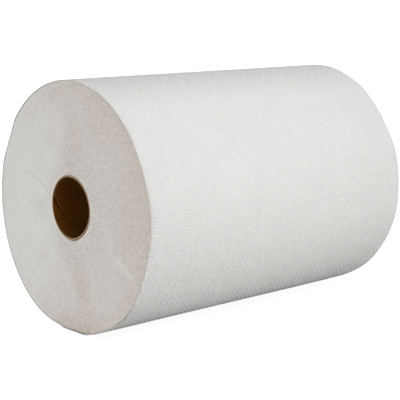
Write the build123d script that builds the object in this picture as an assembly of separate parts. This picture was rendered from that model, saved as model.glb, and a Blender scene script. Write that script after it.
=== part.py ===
from build123d import *
import math
import os

# A hard-wound roll of paper towel that lies on its side.
# Its axis is along Y, the near end is at -Y, and the flat spot that it rests on is at Z = 0.
# Millimetres and degrees. An angle on the section runs from +X towards +Z, seen from the near end.

# Driving dimensions
roll_width = 200.5
roll_radius = 72.0
flat_spot_width = 18.0
bore_radius = 17.1
core_wall = 1.4
core_fit_clearance = 0.0

# The last turn: its end stands one sheet proud and lies down again over lap_angle
sheet_step = 0.3
tail_angle = 142.0
lap_angle = 36.0

# Worn edges of the two end faces
edge_round = 0.7

# Turns on the end faces: a spiral channel between the bands of paper
shown_turns = 7
channel_share = 0.4
channel_depth = 0.25
core_side_land = 2.5
rim_side_land = 0.8

# Butt seam of the core's inner ply: a helical gap in the bore
seam_pitch = 60.0
seam_start_angle = 163.0
seam_width = 0.5
seam_depth = 0.3

# Dents and bulges of the handled roll: centre angle, half width in degrees, height in millimetres
bumps = (
    (33.0, 21.0, -0.8),
    (77.0, 16.0, 0.3),
    (156.0, 20.0, -1.4),
    (229.0, 32.0, 2.1),
)

# How finely the outline is laid out, and how far a cutting tool runs past the face it enters
outline_points = 48
cut_margin = 1.0

core_outer_radius = bore_radius + core_wall
paper_bore_radius = core_outer_radius + core_fit_clearance
axis_height = math.sqrt(roll_radius**2 - (flat_spot_width / 2) ** 2)
near_y = -roll_width / 2
far_y = roll_width / 2
deepest_dent = -min(peak for centre, half_width, peak in bumps)
spiral_inner_radius = paper_bore_radius + core_side_land
spiral_outer_radius = roll_radius - deepest_dent - sheet_step - edge_round - rim_side_land
turn_pitch = (spiral_outer_radius - spiral_inner_radius) / (shown_turns + channel_share)


def bump_height(angle):
    """Sum of the squared-cosine dents and bulges at one angle of the section."""
    height = 0.0
    for centre, half_width, peak in bumps:
        offset = (angle - centre + 180) % 360 - 180
        if abs(offset) < half_width:
            height += peak * math.cos(math.radians(90 * offset / half_width)) ** 2
    return height


def outline_radius(turned):
    """Radius of the outline, turned degrees past the tail: one sheet lower there, level after the lap."""
    lap = max(0.0, 1 - turned / lap_angle)
    return roll_radius + bump_height(tail_angle + turned) - sheet_step * lap


def section_point(radius, angle, y):
    """A point at a radius and angle about the roll's axis."""
    x = radius * math.cos(math.radians(angle))
    z = radius * math.sin(math.radians(angle))
    return Vector(x, y, axis_height + z)


def outline_face(y, inset):
    """Section of the wound paper: one turn of a smooth curve, closed by the step of the tail's edge."""
    points = []
    for index in range(outline_points + 1):
        turned = 360 * index / outline_points
        radius = outline_radius(turned) - inset
        points.append(section_point(radius, tail_angle + turned, y))
    return Face(Wire([Spline(*points), Line(points[-1], points[0])]))


def wound_body():
    """Straight-sided body of one outline, which narrows a little at the worn edges."""
    sections = [
        outline_face(near_y, edge_round),
        outline_face(near_y + edge_round, 0),
        outline_face(far_y - edge_round, 0),
        outline_face(far_y, edge_round),
    ]
    return loft(sections, ruled=True)


def spiral_bank(first_radius, y):
    """One bank of the channel: half circles about two centres, each half a pitch larger than the last."""
    arcs = []
    for half_turn in range(2 * shown_turns):
        start_radius = first_radius + half_turn * turn_pitch / 2
        end_radius = start_radius + turn_pitch / 2
        angle = tail_angle + 180 * half_turn
        start = section_point(start_radius, angle, y)
        end = section_point(end_radius, angle + 180, y)
        centre_shift = (start + end) / 2 - section_point(0, 0, y)
        middle = section_point((start_radius + end_radius) / 2, angle + 90, y) + centre_shift
        arcs.append(ThreePointArc(start, middle, end))
    return arcs


def spiral_channel(y, inward):
    """The channel between bands of turns: a spiral strip on the end face, sunk into it."""
    start = y - inward * cut_margin
    inner_bank = spiral_bank(spiral_inner_radius, start)
    outer_bank = spiral_bank(spiral_inner_radius + channel_share * turn_pitch, start)
    outer_end = Line(inner_bank[-1] @ 1, outer_bank[-1] @ 1)
    core_end = Line(outer_bank[0] @ 0, inner_bank[0] @ 0)
    strip = Face(Wire([*inner_bank, outer_end, *reversed(outer_bank), core_end]))
    return extrude(strip, amount=channel_depth + cut_margin, dir=(0, inward, 0))


def end_on(radius, y, length):
    """A cylinder along +Y that starts at y."""
    plane = Plane(origin=(0, y, axis_height), x_dir=(1, 0, 0), z_dir=(0, 1, 0))
    return extrude(plane * Circle(radius), amount=length)


def paper_roll():
    """All turns of the paper as one solid."""
    body = wound_body()
    body -= end_on(paper_bore_radius, near_y - cut_margin, roll_width + 2 * cut_margin)
    below = (Align.CENTER, Align.CENTER, Align.MAX)
    body -= Box(4 * roll_radius, 2 * roll_width, 2 * roll_radius, align=below)
    body -= spiral_channel(near_y, 1)
    body -= spiral_channel(far_y, -1)
    return body


def seam_groove():
    """The gap between the edges of the inner ply: a small square section carried along a helix."""
    helix = Helix(
        pitch=seam_pitch,
        height=roll_width + 2 * cut_margin,
        radius=bore_radius,
        lefthand=True,
    )
    side = Plane(origin=helix @ 0, x_dir=(1, 0, 0), z_dir=helix % 0)
    groove = sweep(side * Rectangle(2 * seam_depth, seam_width), path=helix, is_frenet=True)
    angle_at_start = seam_start_angle - 360 * cut_margin / seam_pitch
    along_axis = Plane(origin=(0, near_y - cut_margin, axis_height), x_dir=(1, 0, 0), z_dir=(0, 1, 0))
    return along_axis * Rot(0, 0, -angle_at_start) * groove


def core_tube():
    """Paperboard tube as long as the paper is wide, with the seam of its inner ply."""
    tube = end_on(core_outer_radius, near_y, roll_width)
    tube -= end_on(bore_radius, near_y - cut_margin, roll_width + 2 * cut_margin)
    return tube - seam_groove()


def write(name, solid):
    """Write one sub-part to its STEP file."""
    solid.label = name
    export_step(solid, os.path.join("parts", name + ".step"))


os.makedirs("parts", exist_ok=True)
write("core_tube", core_tube())
write("paper_roll", paper_roll())
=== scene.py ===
import math

import bpy
import numpy as np
from mathutils import Euler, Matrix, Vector


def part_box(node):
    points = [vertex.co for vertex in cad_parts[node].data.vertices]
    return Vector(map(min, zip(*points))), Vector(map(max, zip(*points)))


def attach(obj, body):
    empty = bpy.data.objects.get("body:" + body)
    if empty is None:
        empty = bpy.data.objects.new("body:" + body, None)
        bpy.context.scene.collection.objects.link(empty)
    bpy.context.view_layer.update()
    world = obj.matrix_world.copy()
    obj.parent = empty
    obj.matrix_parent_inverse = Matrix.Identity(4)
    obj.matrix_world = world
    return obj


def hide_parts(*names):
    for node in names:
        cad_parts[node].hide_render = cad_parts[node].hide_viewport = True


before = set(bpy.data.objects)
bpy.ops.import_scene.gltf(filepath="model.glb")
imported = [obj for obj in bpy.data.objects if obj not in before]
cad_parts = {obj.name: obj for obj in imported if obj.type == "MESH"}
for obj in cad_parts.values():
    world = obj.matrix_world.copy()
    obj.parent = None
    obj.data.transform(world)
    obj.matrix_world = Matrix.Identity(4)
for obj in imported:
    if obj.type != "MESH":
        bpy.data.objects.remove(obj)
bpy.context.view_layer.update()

# A paper towel roll on its side. Its axis is along Y, the near end is at -Y, its flat spot is at Z = 0.
# An angle on the section runs from +X towards +Z, in degrees, seen from the near end. Lengths are metres.
mm = 0.001
paper_low, paper_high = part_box("paper_roll")
core_low, core_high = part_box("core_tube")
near_y = paper_low.y
far_y = paper_high.y
roll_width = far_y - near_y
roll_radius = (paper_high.x - paper_low.x) / 2
axis_height = (core_low.z + core_high.z) / 2
core_radius = (core_high.x - core_low.x) / 2
core_wall = 1.4 * mm
bore_radius = core_radius - core_wall

# The embossed sheet: staggered rows of dots, each in the middle of four others. The ground between them
# lies below the sheet's mean level by a share of their height. Its rows are skewed, but not at its ends.
dots_around = 128
dot_pitch = 2 * math.pi * roll_radius / dots_around
dot_height = 0.16 * mm
ground_share = 0.6
dot_skew = 1.8
skew_fade = 24.0
pucker_height = 0.02 * mm
dot_strengths = (
    (-90, 1.0), (-65, 1.0), (-45, 2.4), (-25, 2.4), (-12, 1.45), (0, 1.1), (12, 0.85), (25, 0.5),
    (50, 0.45), (62, 0.8), (77, 1.4), (85, 0.5), (105, 0.5), (180, 1.2),
)

# How strongly each mark of the sheet shows, by angle on the section. Rising ridges lean one way, falling
# ones the other, and rungs lie along the roll. Crepe is the height of the wrinkles; the next mark is painted
# shade in the wrinkles and between the ridges, and the last a faint painted warmth of the shade at top and
# bottom.
sheet_marks = {
    "rising": (
        (-90, 0.3), (-50, 0.3), (-30, 0.22), (-15, 0.2), (0, 0.155), (15, 0.15), (30, 0.16),
        (45, 0.13), (60, 0.3), (76, 1.1), (84, 0.35), (100, 0.35), (180, 0.5),
    ),
    "falling": (
        (-90, 0.2), (-62, 0.4), (-52, 1.0), (-45, 1.1), (-30, 0.8), (-15, 0.55), (0, 0.25), (15, 0.04),
        (30, 0.025), (45, 0.035), (60, 0.1), (76, 0.75), (84, 0.3), (100, 0.3), (180, 0.5),
    ),
    "rungs": (
        (-90, 0.3), (-60, 0.4), (-52, 0.8), (-45, 0.9), (-30, 0.6), (-15, 0.45), (0, 0.52), (15, 0.25),
        (30, 0.03), (45, 0.05), (60, 0.18), (76, 0.26), (100, 0.3), (180, 0.4),
    ),
    "crepe": (
        (-90, 1.6), (-62, 2.0), (-52, 3.0), (-45, 3.2), (-30, 2.6), (-15, 1.8), (0, 0.9), (15, 0.5),
        (30, 0.2), (45, 0.35), (60, 1.6), (76, 1.4), (100, 1.0), (180, 0.9),
    ),
    # Painted shade in the wrinkles and between the ridges
    "wrinkle_shade": (
        (-90, 0.3), (-62, 0.7), (-52, 1.2), (-40, 1.15), (-25, 0.9), (-12, 0.65), (0, 0.5), (15, 0.2),
        (30, 0.0), (45, 0.0), (60, 0.6), (76, 0.75), (100, 0.5), (180, 0.3),
    ),
    # A faint painted warmth of the shade at the top and bottom
    "shade_warmth": (
        (-90, 0.2), (-40, 0.2), (-22, 0.15), (-5, 0.0), (45, 0.0), (62, 0.12), (84, 0.25), (180, 0.1),
    ),
}

# The last turn: thickness, step at the tail, curl of its cut edges, rows of points at its rims, the plain
# rim outside the dots, how far the wear and painted shade of a rim reach, which of its rows the inner wall
# has, and the share of the axis's height from which it counts as lying on the floor
sheet = 0.28 * mm
sheet_step = 0.3 * mm
sheet_curl = 0.25 * mm
sheet_curl_width = 0.7 * mm
rim_rows = np.array([0.0, 0.1, 0.25, 0.45, 0.7]) * mm
plain_rim = 0.95 * mm
wear_and_shade_width = 1.1 * mm
inner_row_step = 8
floor_share = 0.995

# Grey strips of painted shade along the roll, one near the floor and a faint one along the top: centre angle,
# half width, strength
painted_shade_strips = (
    (-75.0, 7.0, 0.8),
    (96.0, 6.0, 0.14),
)

# Gaps that keep surfaces apart, and how far the sheet's edges lie inside the ends
hair = 0.02 * mm
end_inset = 0.03 * mm

# The free end of the last turn, and the stretch over which the turn below climbs level with it
tail_angle = 142.0
lap_angle = 36.0
sheet_end = 360 + lap_angle

# Dents and bulges of the outline at each end: centre angle, half width, height in millimetres
near_bumps = (
    (28.0, 20.0, -0.5),
    (60.0, 12.0, 0.45),
    (148.0, 8.0, -0.4),
    (156.0, 20.0, -1.4),
    (162.0, 8.0, 0.5),
    (173.0, 7.0, -0.5),
    (204.0, 20.0, 0.9),
    (229.0, 32.0, 2.1),
    (246.0, 16.0, 0.5),
    (311.0, 16.0, 0.9),
    (335.0, 18.0, -0.5),
    (346.0, 14.0, -0.5),
)
far_bumps = (
    (26.0, 12.0, -0.25),
    (36.0, 22.0, -1.2),
    (78.0, 12.0, 0.2),
    (97.0, 14.0, -0.5),
    (312.0, 16.0, 0.5),
    (333.0, 26.0, 0.65),
    (347.0, 13.0, 0.45),
)

# The wound paper under the last turn: columns around it, shares of the way from the core to the rim, the
# worn shoulder there and its bends, rows along the side, and the dip beside the core
face_columns = 432
face_shares = np.concatenate([
    [0.0, 0.004, 0.01, 0.018, 0.028],
    np.linspace(0.038, 0.955, 88),
    [0.963, 0.97, 0.976, 0.981, 0.986, 0.991, 0.9955, 1.0],
])[:, None]
shoulder = 0.8 * mm
shoulder_bend = np.radians([22.0, 45.0, 68.0])[::-1, None]
side_rows = np.linspace(0, 1, 21)[:, None]
core_dip = 0.1 * mm
core_dip_width = 0.5 * mm

# How far the core stands out of round, like the bumps above, and the rows and columns of its walls
core_bumps = (
    (80.0, 65.0, 0.3),
    (315.0, 50.0, -0.4),
)
core_rows = 161
core_columns = 58

# Grain of the cut edges: cycles around the axis, and per metre across the turns
turn_grain_around = 26.0
turn_grain_across = 1700.0

# The inner ply's butt seam, a left-hand helix in the bore
seam_pitch = 60.0 * mm
seam_start_angle = 163.0
seam_half_width = 0.8 * mm
seam_depth = 0.3 * mm

# Creases of the end faces, each a line of points with a radius in millimetres and an angle, also painted
# with shade by their depth: half width, depth, points
near_creases = (
    (0.8, 0.05, ((69.6, 167), (61.1, 166.3), (47.8, 161.1), (40.0, 159.5))),
    (0.7, 0.13, ((47.0, 159.5), (35.2, 158.7), (26.1, 161.0), (21.2, 169.8))),
    (0.8, 0.06, ((46.1, 182.4), (33.4, 182.5), (20.1, 184.0))),
    (1.1, 0.16, ((21.3, 228), (22.0, 237), (23.3, 247), (21.6, 258))),
    (0.5, 0.5, ((72.4, 0.8), (71.2, 359.5), (70.1, 358.3), (69.0, 356.8), (67.0, 355.2))),
    (0.4, 0.35, ((64.8, 349.7), (63.8, 348.6), (63.3, 347.8), (62.7, 346.6))),
    (0.4, 0.8, ((72.0, 298), (72.0, 309), (72.0, 318), (71.9, 325))),
)
far_creases = (
    (0.5, 0.15, ((68.0, 20), (55.0, 24), (40.0, 21), (27.0, 27))),
    (0.6, 0.15, ((60.0, 205), (47.0, 200), (33.0, 204))),
    (0.5, 0.2, ((71.0, 118), (66.0, 121), (61.0, 127))),
)

# Pale scuffs of the near face: half width, strength, points
near_scuffs = (
    (0.7, 1.0, ((71.0, 358.0), (70.3, 357.3), (69.7, 356.3), (69.0, 355.1))),
    (0.7, 0.8, ((65.9, 349.8), (64.8, 348.7), (64.1, 347.2), (63.5, 346.0))),
    (2.4, 0.35, ((20.6, 2.2), (28.3, 348.9), (36.7, 341.6), (41.5, 337.4))),
    (2.6, 0.45, ((40.9, 330.2), (47.9, 330.4), (55.5, 331.1), (62.6, 330.6))),
    (1.2, 0.35, ((29.9, 233.3), (39.3, 240.6))),
    (1.2, 0.3, ((28.0, 310.0), (44.0, 297.0), (55.0, 291.0))),
)

# Warmer patches of the end faces: centre to the right of the axis and above it, half sizes, strength
warm_patches = (
    (62.0, 2.0, 30.0, 62.0, 0.7),
    (36.0, 54.0, 34.0, 24.0, 0.55),
    (3.0, 34.0, 12.0, 26.0, 0.6),
    (3.0, -26.0, 10.0, 10.0, 0.6),
    (8.0, -38.0, 10.0, 16.0, 0.7),
    (12.0, -52.0, 11.0, 18.0, 0.6),
    (10.0, -68.0, 46.0, 13.0, 0.8),
    (-8.0, 62.0, 28.0, 13.0, 0.4),
    (-70.0, 0.0, 5.0, 30.0, 0.3),
)

# Square lamps: direction from the roll's middle, distance and side in metres, power in watts
lamps = (
    ("low", (0.6, -0.8, 0.14), 5.0, 1.0, 101.0),
    ("side", (1.0, -0.1, 0.2), 6.0, 2.0, 97.0),
    ("over", (0.35, -0.2, 1.0), 5.0, 3.3, 73.0),
    ("top", (-0.2, 0.1, 1.0), 5.0, 2.0, 44.0),
)
world_light = 0.115

# The camera: place, lens in millimetres, and degrees that it looks down, leans and is turned
camera_place = (0.5313, -0.4735, 0.1901)
camera_lens = 105.24
camera_down = 10.038
camera_lean = 0.219
camera_turn = 48.438


def ease(low, high, value):
    """Smooth step: 0 below low, 1 above high, 3t^2 - 2t^3 between."""
    t = np.clip((value - low) / (high - low), 0, 1)
    return t * t * (3 - 2 * t)


def turn_off(angle, centre):
    """Signed angle from centre, between -180 and 180 degrees."""
    return (angle - centre + 180) % 360 - 180


def hump(angle, centre, half_width):
    """Squared cosine: 1 at the centre, 0 from half_width on."""
    t = np.clip(np.abs(turn_off(angle, centre)) / half_width, 0, 1)
    return np.cos(t * math.pi / 2) ** 2


def bumped(bumps, angle):
    """Sum of humps, each with a centre angle, a half width and a peak."""
    return sum(peak * hump(angle, centre, half_width) for centre, half_width, peak in bumps)


def by_angle(table, angle):
    """Straight lines between (angle, value) pairs, closed round the circle."""
    angles, values = np.array(table, float).T
    return np.interp(angle, angles, values, period=360)


def waves(turns, along, seed, count, most_around, most_along):
    """Smooth noise of unit size: a sum of sines, of whole cycles around and any number along."""
    random = np.random.default_rng(seed)
    total = 0.0
    for _ in range(count):
        around = random.integers(-most_around, most_around + 1)
        cycles = random.uniform(-most_along, most_along)
        phase = random.uniform(0, 2 * math.pi)
        total = total + np.sin(2 * math.pi * (around * turns + cycles * along) + phase)
    return total / math.sqrt(count / 2)


def outline(angle, share):
    """Radius of the roll at a share of its length: mean, each end's bumps blended, slow waves, flat floor."""
    slow = 0.05 * waves(angle / 360, share, 11, 9, 7, 1.5) - 0.15
    blended = bumped(near_bumps, angle) * (1 - share) + bumped(far_bumps, angle) * share
    radius = roll_radius + mm * (blended + slow)
    downward = np.maximum(-np.sin(np.radians(angle)), 0.2)
    return np.minimum(radius, (axis_height - hair) / downward)


def on_roll(radius, angle, y):
    """Points at a radius and angle about the roll's axis; the last axis of the array is x, y, z."""
    x = radius * np.cos(np.radians(angle))
    z = axis_height + radius * np.sin(np.radians(angle))
    return np.stack(np.broadcast_arrays(x, y, z), axis=-1)


def make_piece(name, points, polygons, material, uv=None, marks=None, sharp_angle=40.0):
    """A mesh of points and of index arrays with one row per polygon, smooth apart from its sharp edges."""
    mesh = bpy.data.meshes.new(name)
    corners = np.concatenate([p.ravel() for p in polygons]).astype(np.int32)
    sizes = np.concatenate([np.full(len(p), p.shape[1]) for p in polygons]).astype(np.int32)
    starts = np.concatenate([[0], np.cumsum(sizes)[:-1]]).astype(np.int32)
    mesh.vertices.add(len(points))
    mesh.vertices.foreach_set("co", points.astype(np.float32).ravel())
    mesh.loops.add(len(corners))
    mesh.loops.foreach_set("vertex_index", corners)
    mesh.polygons.add(len(sizes))
    mesh.polygons.foreach_set("loop_start", starts)
    mesh.polygons.foreach_set("loop_total", sizes)
    mesh.polygons.foreach_set("use_smooth", np.ones(len(sizes), bool))
    if uv is not None:
        layer = mesh.uv_layers.new(name="sheet")
        layer.data.foreach_set("uv", uv[corners].astype(np.float32).ravel())
    for mark, values in (marks or {}).items():
        attribute = mesh.attributes.new(mark, "FLOAT", "POINT")
        attribute.data.foreach_set("value", values.astype(np.float32).ravel())
    mesh.update(calc_edges=True)
    mesh.set_sharp_from_angle(angle=math.radians(sharp_angle))
    mesh.materials.append(material)
    piece = bpy.data.objects.new(name, mesh)
    bpy.context.scene.collection.objects.link(piece)
    return piece


def grid_quads(rows, columns, closed=False):
    """Quads of a grid of points, row by row, facing outward where rows run along the roll and columns
    run back from the tail. A closed grid meets itself both ways."""
    row_count = rows if closed else rows - 1
    column_count = columns if closed else columns - 1
    row, column = np.meshgrid(np.arange(row_count), np.arange(column_count), indexing="ij")
    next_row = (row + 1) % rows
    next_column = (column + 1) % columns
    corners = (
        row * columns + column,
        row * columns + next_column,
        next_row * columns + next_column,
        next_row * columns + column,
    )
    return np.stack(corners, axis=-1).reshape(-1, 4)


class Value:
    """A socket's value in a material: an expression on values adds its Math nodes."""

    def __init__(self, paint, socket):
        self.paint = paint
        self.socket = socket

    def maths(self, operation, first, second):
        return self.paint.node("Math", {"operation": operation}, {0: first, 1: second})

    def __add__(self, other):
        return self.maths("ADD", self, other)

    def __sub__(self, other):
        return self.maths("SUBTRACT", self, other)

    def __rsub__(self, other):
        return self.maths("SUBTRACT", other, self)

    def __mul__(self, other):
        return self.maths("MULTIPLY", self, other)

    __radd__ = __add__
    __rmul__ = __mul__


class Paint:
    """The nodes of one material. node() adds one of any type: its settings first, its sockets after."""

    def __init__(self, material, tree):
        self.material = material
        self.tree = tree
        self.tree.nodes.clear()

    def node(self, kind, settings=None, sockets=None, out=0):
        made = self.tree.nodes.new("ShaderNode" + kind)
        for key, setting in (settings or {}).items():
            setattr(made, key, setting)
        for key, value in (sockets or {}).items():
            if isinstance(value, Value):
                self.tree.links.new(value.socket, made.inputs[key])
            else:
                made.inputs[key].default_value = value
        return Value(self, made.outputs[out]) if made.outputs else None

    def mix(self, share, first, second):
        """A colour between two. A Mix node's sockets 6 and 7 are its two colours, and output 2 its colour."""
        return self.node("Mix", {"data_type": "RGBA"}, {0: share, 6: first, 7: second}, out=2)

    def place(self):
        """Object coordinates: the row's own metres."""
        return self.node("TexCoord", out=3)

    def scaled(self, where, scale):
        return self.node("Mapping", {}, {"Vector": where, "Scale": scale})

    def mark(self, name):
        """A value that the mesh carries at its points."""
        return self.node("Attribute", {"attribute_name": name}, out=2)

    def parts(self, where):
        """The first two numbers of a vector."""
        return [self.node("SeparateXYZ", {}, {0: where}, out=number) for number in (0, 1)]

    def seen(self):
        """1 on rays from the camera, off a mirror or through glass, 0 on all others."""
        kinds = ("Is Camera Ray", "Is Glossy Ray", "Is Transmission Ray")
        return sum(self.node("LightPath", out=kind) for kind in kinds)

    def wave(self, turns):
        """Half the cosine of whole turns, plus a half: from 0 to 1."""
        cosine = self.node("Math", {"operation": "COSINE"}, {0: turns * (2 * math.pi)})
        return cosine * 0.5 + 0.5

    def noise(self, where, scale, detail=2.0, roughness=0.5):
        sockets = {"Vector": where, "Scale": scale, "Detail": detail, "Roughness": roughness}
        return self.node("TexNoise", {}, sockets)

    def spread(self, value, low, high):
        """Smooth step of a value between low and high."""
        sockets = {"Value": value, "From Min": low, "From Max": high}
        return self.node("MapRange", {"interpolation_type": "SMOOTHSTEP"}, sockets)

    def surface(self, colour, height, bump_distance, roughness, specular):
        """A Principled surface with a bump, its fixed numbers on its own sockets."""
        normal = self.node("Bump", {}, {"Height": height, "Distance": bump_distance})
        sockets = {
            "Base Color": colour,
            "Normal": normal,
            "Roughness": roughness,
            "Specular IOR Level": specular,
        }
        shader = self.node("BsdfPrincipled", {}, sockets)
        self.node("OutputMaterial", {}, {"Surface": shader})
        return self.material


def new_paint(name):
    material = bpy.data.materials.new(name)
    material.use_nodes = True
    return Paint(material, material.node_tree)


def srgb(red, green, blue):
    """A colour written as it looks, 0 to 255, as linear light for a socket."""
    shares = [c / 255 for c in (red, green, blue)]
    linear = [c / 12.92 if c <= 0.04045 else ((c + 0.055) / 1.055) ** 2.4 for c in shares]
    return (*linear, 1.0)


def sheet_paper():
    """The embossed sheet: white, with ridges, crepe wrinkles and a fine fibre grain, painted shade in the
    wrinkles and a painted warmth of shade where the marks say so, and rims grey with wear and painted shade."""
    paint = new_paint("sheet_paper")
    pitches = paint.node("UVMap", {"uv_map": "sheet"})
    around, along = paint.parts(pitches)
    falling = paint.wave(around - along)
    rungs_wave = paint.wave(around * 2)
    ridges = (
        paint.mark("rising") * paint.wave(around + along)
        + paint.mark("falling") * falling
        + paint.mark("rungs") * rungs_wave
    )
    flattened = paint.spread(paint.noise(pitches, 0.55, 3.0, 0.7), 0.36, 0.64)
    crepe = paint.noise(paint.scaled(pitches, (5.0, 3.2, 1.0)), 1.0, 2.0)
    fibre = paint.noise(pitches, 3.2, 3.0, 0.65)
    cloud = paint.noise(pitches, 0.15, 3.0, 0.6)
    shade = paint.spread(0.2 * cloud + 0.8 * fibre, 0.3, 0.7)
    colour = paint.mix(shade, srgb(229, 229, 227), srgb(243, 242, 240))
    # Painted shade: the wrinkles and the ground between the ridges are painted darker, the rest lighter to
    # keep the mean
    wrinkle_shade_share = (0.21 + 0.055 * paint.mark("crepe")) * (1 - paint.spread(crepe, 0.36, 0.64)) + 0.02 * (1 - shade)
    wrinkle_shade_share = wrinkle_shade_share + 0.045 * paint.mark("falling") * (1 - falling)
    wrinkle_shade_share = wrinkle_shade_share + 0.03 * paint.mark("rungs") * (1 - rungs_wave)
    embossed = paint.mix(wrinkle_shade_share, srgb(255, 254, 252), srgb(160, 158, 155))
    colour = paint.mix(paint.mark("wrinkle_shade"), colour, embossed)
    # Painted warmth of the shade at the top and bottom
    colour = paint.mix(paint.mark("shade_warmth"), colour, srgb(238, 232, 230))
    # Grey of the rims: partly wear and partly painted shade, and strips of painted shade along the roll
    colour = paint.mix(paint.mark("rim"), colour, srgb(120, 117, 113))
    relief = ridges * (1.1 + 1.4 * flattened) + paint.mark("crepe") * crepe + 0.4 * fibre
    return paint.surface(colour, relief, dot_height, roughness=0.95, specular=0.15)


def cut_edges():
    """The end faces: cut edges of all the turns, mottled, warmer and greyer where the marks say so, and
    darker with painted shade in the creases, on the shoulder and at the core.
    """
    paint = new_paint("cut_edges")
    place = paint.place()
    speck = paint.noise(place, 1500.0, 2.0, 0.6)
    turned = paint.noise(along_turns(paint, place), 1.0, 2.0, 0.6)
    patch = paint.noise(place, 240.0, 3.0, 0.6)
    mottled = paint.spread(0.5 * speck + 0.35 * turned + 0.15 * patch, 0.36, 0.64)
    coarse = paint.spread(paint.noise(place, 620.0, 3.0, 0.7), 0.4, 0.62)
    light_tone = paint.mix(mottled, srgb(240, 237, 232), srgb(255, 255, 253))
    grey_tone = paint.mix(mottled, srgb(220, 215, 210), srgb(250, 245, 239))
    warm_tone = paint.mix(mottled, srgb(209, 199, 188), srgb(247, 239, 230))
    colour = paint.mix(paint.mark("grey"), light_tone, grey_tone)
    colour = paint.mix(paint.mark("warm"), colour, warm_tone)
    # Painted shade: the creases, the shoulder and the core's top and bottom
    colour = paint.mix(paint.mark("dark"), colour, srgb(160, 148, 136))
    speckle = paint.mix(coarse, srgb(204, 197, 189), srgb(255, 255, 253))
    colour = paint.mix(paint.mark("speckled"), colour, speckle)
    colour = paint.mix(paint.mark("bright"), colour, srgb(252, 246, 236))
    relief = (0.35 + 0.65 * paint.mark("warm")) * speck
    return paint.surface(colour, relief, 0.3 * mm, roughness=1.0, specular=0.1)


def along_turns(paint, place):
    """Coordinates that make a noise finer across the turns than along them: the direction from the axis,
    which has no part along it, and in place of that part the distance from the axis."""
    flat = paint.node("Mapping", {}, {"Vector": place, "Scale": (1, 0, 1), "Location": (0, 0, -axis_height)})
    direction = paint.node("VectorMath", {"operation": "NORMALIZE"}, {0: flat})
    distance = paint.node("VectorMath", {"operation": "LENGTH"}, {0: flat}, out=1)
    across = paint.node("CombineXYZ", {}, {1: distance * turn_grain_across})
    sockets = {0: direction, 1: (turn_grain_around,) * 3, 2: across}
    return paint.node("VectorMath", {"operation": "MULTIPLY_ADD"}, sockets)


def paperboard():
    """Brown recycled board: a dark bore with flecks, its brown deepened by painted shade, a darker seam, and
    a paler, fuzzy cut edge with painted shade on its inner part.
    """
    paint = new_paint("paperboard")
    place = paint.place()
    fleck = paint.noise(place, 1500.0, 4.0, 0.7)
    cloud = paint.noise(place, 110.0, 3.0, 0.6)
    tone = paint.spread(0.5 * fleck + 0.5 * cloud, 0.3, 0.7)
    # The bore's browns are far darker than the board's cut edge: its own brown with painted shade inside the
    # tube
    bore = paint.mix(tone, srgb(69, 37, 2), srgb(95, 55, 5))
    bore = paint.mix(paint.mark("lip"), bore, srgb(106, 66, 14))
    bore = paint.mix(paint.mark("seam"), bore, srgb(5, 2, 0))
    pale = paint.mix(tone, srgb(172, 142, 112), srgb(204, 176, 146))
    brown = paint.mix(tone, srgb(90, 62, 40), srgb(120, 90, 64))
    edge = paint.mix(paint.mark("inward"), pale, brown)
    # Paler on the left, on the outer part of the cut edge
    edge = paint.mix(paint.mark("pale_left_edge"), edge, srgb(250, 236, 216))
    # Painted shade on the inner part of the cut edge
    edge = paint.mix(paint.mark("edge_shade"), edge, srgb(60, 36, 16))
    colour = paint.mix(paint.mark("cut"), bore, edge)
    return paint.surface(colour, fleck, 0.1 * mm, roughness=0.9, specular=0.1)


def curl(distance):
    """How far the sheet's cut edge rolls inward at a distance from the end: a quarter of an ellipse."""
    t = np.clip(1 - distance / sheet_curl_width, 0, 1)
    return sheet_curl * (1 - np.sqrt(1 - t * t))


def core_unevenness(angle):
    """How far the core's wall stands out of round."""
    return mm * bumped(core_bumps, angle)


def under_lap(angle):
    """How far the wound body lies lower: one sheet at the tail, none a lap away on either side."""
    return sheet_step * (1 - ease(0, lap_angle, np.abs(turn_off(angle, tail_angle))))


def skewed(lattice, column, along):
    """Degrees from the tail back to the sheet's points: each row is shifted in proportion to its distance
    from the middle of the roll, less so close to the sheet's two ends, which are straight."""
    skew = math.degrees(math.tan(math.radians(dot_skew)) / roll_radius) * (along - roll_width / 2)
    skew = skew * ease(0, skew_fade, lattice) * ease(0, skew_fade, sheet_end - lattice)
    back = np.clip(lattice + skew, 0, sheet_end)
    return np.where(column == 0, 0, np.where(column == column.max(), sheet_end, back))


def sheet_levels(angle, back, along):
    """The sheet's marks at its points: those that go by angle, and the grey of its rims, partly wear and
    partly painted shade, with painted shade towards both ends and in strips along the roll.
    """
    share = along / roll_width
    from_end = np.minimum(along, roll_width - along)
    # Grey of the rims: partly wear, partly painted shade of the curled cut edges
    wear_and_shade = 0.16 + 0.14 * hump(angle, 2, 24) + 0.05 * waves(back / 360, share, 27, 20, 40, 1)
    # Fainter at the far end; at the near end more painted shade on the left
    wear_and_shade = np.where(share > 0.5, 0.4 * wear_and_shade, wear_and_shade + 0.2 * hump(angle, 190, 90))
    rim = np.clip(wear_and_shade, 0, 1) * np.exp(-from_end / wear_and_shade_width)
    # Strips of painted shade along the roll
    rim = np.maximum(rim, bumped(painted_shade_strips, angle))
    # Painted shade towards both ends of the roll
    rim = rim + 0.03 * (1 - ease(0, 0.3, share)) + 0.035 * (1 - ease(0, 0.35, 1 - share))
    levels = {mark: by_angle(table, angle) for mark, table in sheet_marks.items()}
    on_top = np.abs(turn_off(angle, 90)) < 60
    levels["shade_warmth"] = levels["shade_warmth"] * np.where(on_top, 1, ease(0.05, 0.4, share))
    levels["rim"] = rim
    return levels


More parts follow.
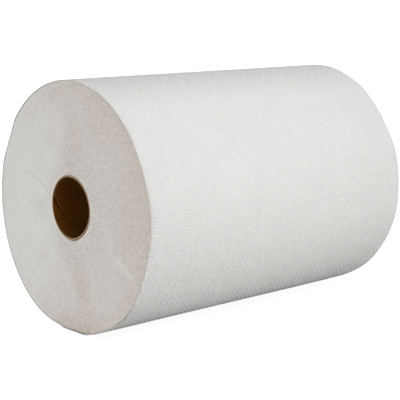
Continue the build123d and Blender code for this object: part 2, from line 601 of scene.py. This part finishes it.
def outer_turn(material):
    """The last turn as a closed thin shell that starts at the tail and ends tucked under it.

    Its outer wall is a staggered grid: rows a quarter of a dot's pitch apart along the roll, points half a
    pitch apart around it, every other row moved on by a quarter pitch. Of a row that isn't moved, every
    other point is the peak of a dot, and all other points are the ground between. Past a whole turn the
    wall eases down by one sheet and thins out under the tail.
    """
    step = 360 / (2 * dots_around)
    columns = int(sheet_end / step) + 2
    spaces = int((roll_width - 2 * plain_rim) / (dot_pitch / 4)) // inner_row_step * inner_row_step
    body = np.linspace(plain_rim, roll_width - plain_rim, spaces + 1)
    body_pitch = 4 * (body[1] - body[0])
    along = np.concatenate([rim_rows, body, roll_width - rim_rows[::-1]])[:, None]
    order = np.arange(len(along))[:, None] - len(rim_rows)
    column = np.arange(columns)[None, :]
    moved = np.clip(order, 0, spaces) % 2
    lattice = (column + moved / 2) * step
    back = skewed(lattice, column, along)
    share = along / roll_width
    angle = tail_angle - back
    on_body = (order >= 0) & (order <= spaces) & (moved == 0)
    peak = on_body & ((order % 4 == 0) == (column % 2 == 0))
    strength = by_angle(dot_strengths, angle) + 0.12 * waves(back / 360, share, 21, 12, 12, 5)
    dots = dot_height * strength * (peak * 1.0 - ground_share)
    pucker = pucker_height * waves(back / 360, share, 23, 24, 50, 26)
    from_end = np.minimum(along, roll_width - along)
    rise = np.where(from_end > plain_rim / 2, dots + pucker, 0)
    level = outline(angle, share) - sheet_step * ease(360 - lap_angle, 360, back)
    on_floor = -level * np.sin(np.radians(angle)) > floor_share * axis_height
    rise = np.where(on_floor, -np.abs(rise), rise)
    radius = level + rise - curl(from_end)
    y = near_y + along + end_inset * (1 - 2 * share)
    outer_points = on_roll(radius, angle, y).reshape(-1, 3)
    pitches = np.stack(np.broadcast_arrays(lattice / (2 * step), (along - plain_rim) / body_pitch), axis=-1)

    thickness = sheet * (1 - 0.9 * ease(360, sheet_end, back))
    row = np.arange(len(along))
    at_rims = (row < len(rim_rows)) | (row >= len(along) - len(rim_rows))
    inner_rows = row[at_rims | ((row - len(rim_rows)) % inner_row_step == 0)]
    inner_radius = (level - curl(from_end) - thickness)[inner_rows]
    inner_points = on_roll(inner_radius, angle[inner_rows], y[inner_rows]).reshape(-1, 3)
    points = np.concatenate([outer_points, inner_points])
    uv = np.concatenate([pitches.reshape(-1, 2), pitches[inner_rows].reshape(-1, 2)])
    marks = {
        mark: np.concatenate([(values + 0 * radius).ravel(), 0 * inner_radius.ravel()])
        for mark, values in sheet_levels(angle, back, along).items()
    }
    outer_index = np.arange(len(outer_points)).reshape(len(along), columns)
    inner_index = len(outer_points) + np.arange(len(inner_points)).reshape(len(inner_rows), columns)
    polygons = sheet_shell(outer_index, inner_index, inner_rows)
    return make_piece("outer_turn", points, polygons, material, uv=uv, marks=marks)


def sheet_shell(outer, inner, inner_rows):
    """Faces of a closed thin sheet, from the indices of its outer and inner walls' points: the two walls,
    both rims, the edge at the tail and the tucked end."""
    outer_wall = grid_quads(*outer.shape)
    inner_wall = inner.min() + grid_quads(*inner.shape)[:, ::-1]
    near_rim = np.stack([inner[0, :-1], inner[0, 1:], outer[0, 1:], outer[0, :-1]], -1)
    far_rim = np.stack([outer[-1, :-1], outer[-1, 1:], inner[-1, 1:], inner[-1, :-1]], -1)
    tail_cap = cap(outer[:, 0], inner[:, 0], inner_rows)
    tucked_cap = cap(outer[:, -1], inner[:, -1], inner_rows)[:, ::-1]
    return [outer_wall, inner_wall, near_rim, far_rim, tail_cap, tucked_cap]


def cap(fine, coarse, picked):
    """Triangles that close a shell along one edge: fine points of one wall, the picked ones of the other."""
    steps = np.arange(len(fine) - 1)
    owner = np.searchsorted((picked[:-1] + picked[1:]) / 2, steps + 0.5)
    fans = np.stack([fine[steps], fine[steps + 1], coarse[owner]], axis=-1)
    change = np.searchsorted(owner, np.arange(1, len(coarse)))
    closers = np.stack([fine[change], coarse[1:], coarse[:-1]], axis=-1)
    return np.concatenate([fans, closers])


def line_distance(x, z, line):
    """Distance in millimetres from points on an end face to a line of (radius, angle) points."""
    radius, angle = np.array(line, float).T
    line_x = radius * np.cos(np.radians(angle))
    line_z = radius * np.sin(np.radians(angle))
    nearest = np.full(np.broadcast(x, z).shape, np.inf)
    for ax, az, bx, bz in zip(line_x[:-1], line_z[:-1], line_x[1:], line_z[1:]):
        length = (bx - ax) ** 2 + (bz - az) ** 2
        t = np.clip(((x - ax) * (bx - ax) + (z - az) * (bz - az)) / length, 0, 1)
        gap = np.hypot(x - ax - t * (bx - ax), z - az - t * (bz - az))
        nearest = np.minimum(nearest, gap)
    return nearest


def face_relief(radius, angle, seed, creases):
    """Depth of an end face below its plane, in metres, and the painted shade of its creases.

    Slow swells, fine uneven rings where turns stand proud, a grain at every point, and the creases, each
    a bell-shaped groove about its line.
    """
    random = np.random.default_rng(seed)
    x = radius / mm * np.cos(np.radians(angle))
    z = radius / mm * np.sin(np.radians(angle))
    turns = angle / 360
    out = radius / roll_radius
    depth = 0.2 + 0.05 * waves(turns, out, seed, 14, 4, 3)
    depth = depth + 0.012 * waves(turns, out, seed + 1, 30, 3, 34)
    depth = depth + 0.012 * random.standard_normal(x.shape)
    dark = np.zeros(x.shape)
    for half_width, deep, line in creases:
        groove = np.exp(-((line_distance(x, z, line) / half_width) ** 2))
        depth = depth + deep * groove
        dark = np.maximum(dark, groove * max(deep, 0))
    return mm * np.maximum(depth, 0.01), dark


def body_radius(angle, share):
    """Radius of the wound body under the last turn."""
    return outline(angle, share) - sheet_step - hair - under_lap(angle)


def end_face(angle, share, end, inward, seed, creases):
    """Points of one end face, from the core outward and round its shoulder, and the painted shade of each:
    in its creases, and on its shoulder, most on the left.
    """
    edge = body_radius(angle, share)
    bore = core_radius + core_unevenness(angle)
    radius = bore + face_shares * (edge - shoulder - bore)
    depth, dark = face_relief(radius, angle, seed, creases)
    depth = depth + core_dip * np.exp(-((radius - bore) / core_dip_width) ** 2)
    face = on_roll(radius, angle, end + inward * depth)
    round_radius = edge - shoulder * (1 - np.cos(shoulder_bend))
    round_depth = depth[-1:] + shoulder * (1 - np.sin(shoulder_bend))
    corner = on_roll(round_radius, angle, end + inward * round_depth)
    # Painted shade on the shoulder, most on the left
    shaded = np.maximum(dark[-1:], 0.35 * hump(angle, 190, 90)) + 0 * round_radius
    return np.concatenate([face, corner])[::inward], np.concatenate([dark, shaded])[::inward]


def wound_paper(material):
    """All turns below the last one, as one closed grid.

    Columns run around the roll. Rows run from the core outward over the near face, round its worn
    shoulder (a quarter circle), along the side, and back inward over the far face to the core. The rows
    are closest together at the core and at the rim.
    """
    angle = tail_angle - np.arange(face_columns)[None, :] * (360 / face_columns)
    near_points, near_dark = end_face(angle, 0.0, near_y, 1, 31, near_creases)
    far_points, far_dark = end_face(angle, 1.0, far_y, -1, 41, far_creases)
    side_y = near_y + 2 * shoulder + side_rows * (roll_width - 4 * shoulder)
    side_radius = body_radius(angle, side_rows)
    points = np.concatenate([near_points, on_roll(side_radius, angle, side_y), far_points])
    dark = np.concatenate([near_dark, 0 * side_radius, far_dark])
    quads = [grid_quads(len(points), face_columns, closed=True)]
    marks = face_marks(points, angle, dark)
    return make_piece("wound_paper", points.reshape(-1, 3), quads, material, marks=marks)


def face_marks(points, angle, dark):
    """The marks of the end faces: warm, grey and speckled places, painted shade in the creases, on the
    shoulder, at the core and above and below the axis, and bright scuffs and the bright edge of the first
    turn."""
    x = points[..., 0] / mm
    z = (points[..., 2] - axis_height) / mm
    from_axis = np.hypot(x, z)
    from_core = from_axis * mm - core_radius - core_unevenness(angle)
    at_core = 1 - ease(0.8 * mm, 1.4 * mm, from_core)
    shaded = np.maximum(hump(angle, 90, 55), hump(angle, 275, 45))
    at_near = points[..., 1] < near_y + 3 * mm
    clean = 0 * x
    for half_width, strength, line in near_scuffs:
        scuff = strength * np.exp(-((line_distance(x, z, line) / half_width) ** 2))
        clean = np.maximum(clean, scuff * at_near)
    grey = ease(-45, 20, x + 8 * waves(x / 300, z / 300, 53, 12, 12, 12))
    # Greyer above and below the axis: painted shade of the cut edges' sheen, which is dark on these sectors
    grey = grey + 0.35 * ease(15, 60, np.abs(z)) * (1 - grey)
    return {
        "warm": warm_marks(x, z) * (1 - clean),
        "grey": grey * (1 - 0.6 * clean),
        # Painted shade of the creases and the shoulder, and at the core's top and bottom
        "dark": np.maximum(dark, 0.25 * at_core * shaded),
        "bright": np.maximum(at_core * (1 - shaded), clean**2),
        "speckled": 0.42 * (1 - ease(24, 46, from_axis)) * ease(-34, 0, x),
    }


def warm_marks(x, z):
    """Where the end faces are warmer: soft patches and a band along the rim, uneven by slow waves."""
    warm = 0 * x
    for centre_x, centre_z, half_x, half_z, strength in warm_patches:
        away = np.hypot((x - centre_x) / half_x, (z - centre_z) / half_z)
        warm = warm + strength * (1 - ease(0.15, 1.15, away)) * (1 - warm)
    rim = 0.45 * ease(60, 68, np.hypot(x, z)) * ease(-30, 10, x)
    warm = warm + rim * (1 - warm)
    uneven = waves(x / 300, z / 300, 51, 60, 90, 90)
    return np.clip(warm + 0.1 * uneven * (0.4 + warm), 0, 1)


def core_board(material):
    """The core as a closed grid whose columns follow the seam's left-hand helix.

    Rows run along the outer wall, inward over the far edge, back along the bore and outward over the near
    edge. The edges are rounded and uneven. In the bore the radius grows by the seam's depth over its width.
    """
    seam_half_angle = math.degrees(seam_half_width / bore_radius)
    beside = np.array([-3.2, -1.7, -1.15, -0.85, 0.0, 0.85, 1.15, 1.7, 3.2]) * seam_half_angle
    around = np.linspace(5, 355, core_columns)
    offset = np.concatenate([beside[4:], around, 360 + beside[:4]])[None, :]
    soft = 0.25 * mm
    wall_rows = np.linspace(soft, roll_width - soft, core_rows)[:, None]
    edge_depth = np.array([0.08, 0.02, 0.0, 0.0, 0.02, 0.08])[:, None] * mm
    edge_share = np.array([0.09, 0.25, 0.42, 0.58, 0.75, 0.91])[:, None]
    along = np.concatenate([wall_rows, roll_width - edge_depth, wall_rows[::-1], edge_depth])
    wall = np.ones_like(wall_rows)
    edge = np.ones_like(edge_share)
    inward = np.concatenate([0 * wall, edge_share, wall, 1 - edge_share])
    on_edge = np.concatenate([0 * wall, edge, 0 * wall, edge])
    angle = seam_start_angle + 360 * along / seam_pitch - offset
    beside_seam = turn_off(offset, 0) / seam_half_angle
    groove = 1 - ease(0.85, 1.15, np.abs(beside_seam))
    lip = ease(1.0, 1.2, beside_seam) * (1 - ease(1.7, 3.2, beside_seam))
    in_bore = (inward == 1) * 1.0
    shallow = 1 - ease(5 * mm, 11 * mm, along)
    uneven = waves(angle / 360, inward * 0.4, 61, 30, 40, 2)
    radius = core_radius + core_unevenness(angle) - inward * core_wall
    radius = radius + in_bore * groove * seam_depth * (0.1 + 0.9 * shallow)
    radius = radius + on_edge * 0.02 * mm * uneven
    fray = on_edge * 0.05 * mm * (1 + waves(angle / 360, inward, 63, 30, 60, 2)).clip(0, 3)
    y = near_y + along + fray * np.where(along < roll_width / 2, 1, -1)
    points = on_roll(radius, angle, y)
    loose = hump(angle, 295, 75)
    # Painted shade on the inner part of the cut edge, most on the right and upper left
    edge_shade = np.maximum(hump(angle, 15, 80), 0.6 * hump(angle, 130, 60))
    marks = {
        "cut": on_edge + 0 * radius,
        "inward": ease(0.35, 0.95, inward) * (1 - loose) + (1 - ease(0.2, 0.55, inward)) * loose,
        "edge_shade": on_edge * ease(0.2, 0.6, inward) * edge_shade,
        "pale_left_edge": on_edge * (1 - ease(0.3, 0.7, inward)) * hump(angle, 195, 55),
        "seam": in_bore * groove * shallow,
        "lip": in_bore * lip * shallow,
    }
    quads = [grid_quads(*points.shape[:2], closed=True)]
    return make_piece("core_board", points.reshape(-1, 3), quads, material, marks=marks)


def floor_paint():
    """A mid-grey floor for the light it throws back, painted dark with contact shade close to the roll. What
    the camera and mirrors see is lifted to white, and keeps the roll's shadow and a painted dark line at the
    contact."""
    paint = new_paint("floor")
    # Occlusion paints the floor dark close to the roll, and its lift dark at the contact: painted contact
    # shade
    wedge = paint.node("AmbientOcclusion", {"samples": 8}, {"Distance": 10.0 * mm}, out=1)
    contact = paint.node("AmbientOcclusion", {"samples": 8}, {"Distance": 0.8 * mm}, out=1)
    grey = paint.mix(wedge, srgb(20, 20, 20), srgb(208, 208, 208))
    plain = paint.node("BsdfDiffuse", {}, {"Color": grey})
    touched = paint.mix(contact, srgb(0, 0, 0), srgb(255, 255, 255))
    lift = paint.node("Emission", {}, {"Color": touched, "Strength": 0.95})
    lit = paint.node("AddShader", {}, {0: plain, 1: lift})
    shown = paint.node("MixShader", {}, {0: paint.seen(), 1: plain, 2: lit})
    paint.node("OutputMaterial", {}, {"Surface": shown})
    return paint.material


def make_floor():
    """A square sheet of floor a hair below the roll."""
    half_side = 60.0
    corners = half_side * np.array([(-1, -1, 0), (1, -1, 0), (1, 1, 0), (-1, 1, 0)]) - np.array([0, 0, hair])
    return make_piece("floor", corners, [np.array([[0, 1, 2, 3]])], floor_paint())


def make_world():
    """Dim even light on the roll, and white where the camera or a mirror looks past the floor."""
    world = bpy.data.worlds.new("studio")
    bpy.context.scene.world = world
    world.use_nodes = True
    paint = Paint(world, world.node_tree)
    dim = paint.node("Background", {}, {"Color": (1, 1, 1, 1), "Strength": world_light})
    white = paint.node("Background", {}, {"Color": (1, 1, 1, 1), "Strength": 1.0})
    shown = paint.node("MixShader", {}, {0: paint.seen(), 1: dim, 2: white})
    paint.node("OutputWorld", {}, {"Surface": shown})


def area_light(name, direction, distance, side, power):
    """A soft square lamp that faces the roll's middle from a direction."""
    data = bpy.data.lights.new(name, "AREA")
    data.shape = "SQUARE"
    data.size = side
    data.energy = power
    lamp = bpy.data.objects.new(name, data)
    away = Vector(direction).normalized()
    lamp.location = Vector((0, 0, axis_height)) + away * distance
    lamp.rotation_euler = away.to_track_quat("Z", "Y").to_euler()
    bpy.context.scene.collection.objects.link(lamp)


def make_camera():
    """The photograph's view: above and to the right of the near end."""
    data = bpy.data.cameras.new("camera")
    data.sensor_width = 36.0
    data.lens = camera_lens
    camera = bpy.data.objects.new("camera", data)
    camera.location = camera_place
    camera.rotation_euler = Euler([math.radians(a) for a in (90 - camera_down, camera_lean, camera_turn)])
    bpy.context.scene.collection.objects.link(camera)
    bpy.context.scene.camera = camera


last_turn = outer_turn(sheet_paper())
body = wound_paper(cut_edges())
core = core_board(paperboard())

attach(last_turn, "root")
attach(body, "root")
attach(core, "root")
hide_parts("paper_roll")
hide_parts("core_tube")

make_floor()
make_world()
for lamp in lamps:
    area_light(*lamp)
make_camera()
bpy.context.scene.view_settings.view_transform = "Standard"
